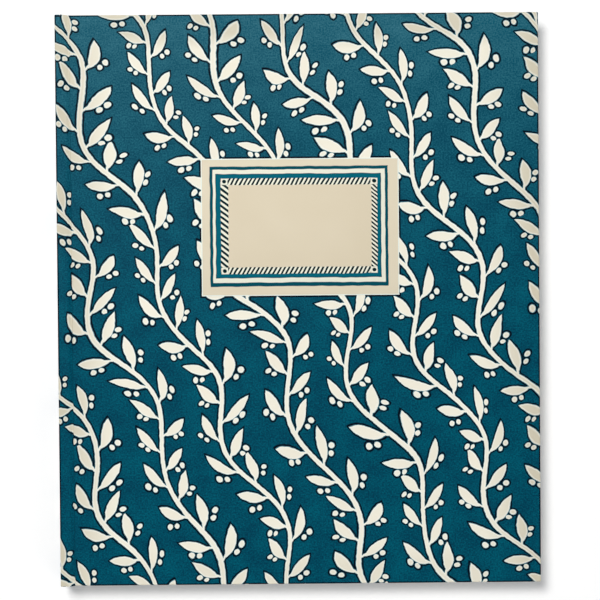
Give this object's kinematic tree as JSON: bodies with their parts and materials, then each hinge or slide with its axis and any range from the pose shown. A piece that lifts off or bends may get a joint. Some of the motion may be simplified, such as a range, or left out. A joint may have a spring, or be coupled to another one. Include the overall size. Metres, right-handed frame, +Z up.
{
  "type": "hardcover notebook",
  "caption": "Case-bound hardcover notebook with a square spine, pressed joints, patterned covering paper, a bordered title label and a sewn block of leaves that turn.",
  "frame": {"origin": "on the ground under the middle of the closed notebook, lying on its back cover", "axes": "+X from the spine to the fore edge, +Y from tail to head, +Z up out of the front cover"},
  "size_m": [0.21, 0.2494, 0.0191],
  "materials": {
    "covering_paper": "matt printed, deep teal with a cream pattern",
    "label_paper": "matt uncoated cream, printed border",
    "endpaper": "matt uncoated cream",
    "leaf_paper": "matt uncoated ivory",
    "book_board": "grey book board",
    "kraft_paper": "brown kraft",
    "thread": "waxed linen",
    "mull": "open cotton gauze",
    "headband_cloth": "plain woven cream"
  },
  "bodies": {
    "text_block": {"signature_1": "leaf_paper", "signature_2": "leaf_paper", "signature_3": "leaf_paper", "signature_4": "leaf_paper", "signature_5": "leaf_paper", "signature_6": "leaf_paper", "signature_7": "leaf_paper", "signature_8": "leaf_paper", "sewing_thread_1": "thread", "sewing_thread_2": "thread", "sewing_thread_3": "thread", "sewing_thread_4": "thread", "sewing_thread_5": "thread", "spine_mull": "mull", "spine_liner": "kraft_paper", "headband": "headband_cloth", "tailband": "headband_cloth", "spine_board": "book_board", "spine_cover_paper": "covering_paper", "front_joint_strip": "covering_paper", "back_joint_strip": "covering_paper", "front_joint_mull": "mull", "back_joint_mull": "mull", "front_endpaper_fold": "endpaper", "back_endpaper_fold": "endpaper"},
    "front_cover": {"front_board": "book_board", "front_cover_paper": "covering_paper", "front_label": "label_paper", "front_pastedown": "endpaper", "front_mull_wing": "mull"},
    "front_flyleaf": {"front_flyleaf": "endpaper"},
    "leaves_1": {"leaves_1": "leaf_paper"},
    "leaves_2": {"leaves_2": "leaf_paper"},
    "leaves_3": {"leaves_3": "leaf_paper"},
    "leaves_4": {"leaves_4": "leaf_paper"},
    "back_cover": {"back_board": "book_board", "back_cover_paper": "covering_paper", "back_pastedown": "endpaper", "back_mull_wing": "mull"},
    "back_flyleaf": {"back_flyleaf": "endpaper"}
  },
  "joints": [
    {"name": "front_cover_hinge", "type": "hinge", "parent": "text_block", "child": "front_cover", "pos_m": [-0.1026, 0, 0.01735], "axis": [0, -1, 0], "range_deg": [0, 180], "deforming": ["front_joint_strip", "front_joint_mull", "front_endpaper_fold"]},
    {"name": "front_flyleaf_turn", "type": "hinge", "parent": "text_block", "child": "front_flyleaf", "pos_m": [-0.09906, 0, 0.01566], "axis": [0, -1, 0], "range_deg": [0, 129.6]},
    {"name": "leaves_1_turn", "type": "hinge", "parent": "text_block", "child": "leaves_1", "pos_m": [-0.09756, 0, 0.01479], "axis": [0, -1, 0], "range_deg": [0, 111.6]},
    {"name": "leaves_2_turn", "type": "hinge", "parent": "text_block", "child": "leaves_2", "pos_m": [-0.09556, 0, 0.01327], "axis": [0, -1, 0], "range_deg": [0, 90]},
    {"name": "leaves_3_turn", "type": "hinge", "parent": "text_block", "child": "leaves_3", "pos_m": [-0.09356, 0, 0.01175], "axis": [0, -1, 0], "range_deg": [0, 68.4]},
    {"name": "leaves_4_turn", "type": "hinge", "parent": "text_block", "child": "leaves_4", "pos_m": [-0.09156, 0, 0.01023], "axis": [0, -1, 0], "range_deg": [0, 46.8]},
    {"name": "back_cover_hinge", "type": "hinge", "parent": "text_block", "child": "back_cover", "pos_m": [-0.1026, 0, 0.00159], "axis": [0, 1, 0], "range_deg": [0, 180], "deforming": ["back_joint_strip", "back_joint_mull", "back_endpaper_fold"]},
    {"name": "back_flyleaf_turn", "type": "hinge", "parent": "text_block", "child": "back_flyleaf", "pos_m": [-0.09906, 0, 0.00328], "axis": [0, 1, 0], "range_deg": [0, 129.6]}
  ],
  "couplings": [
    {"joint": "front_flyleaf_turn", "follows": "front_cover_hinge", "ratio": 0.72},
    {"joint": "leaves_1_turn", "follows": "front_cover_hinge", "ratio": 0.62},
    {"joint": "leaves_2_turn", "follows": "front_cover_hinge", "ratio": 0.5},
    {"joint": "leaves_3_turn", "follows": "front_cover_hinge", "ratio": 0.38},
    {"joint": "leaves_4_turn", "follows": "front_cover_hinge", "ratio": 0.26},
    {"joint": "back_flyleaf_turn", "follows": "back_cover_hinge", "ratio": 0.72}
  ]
}
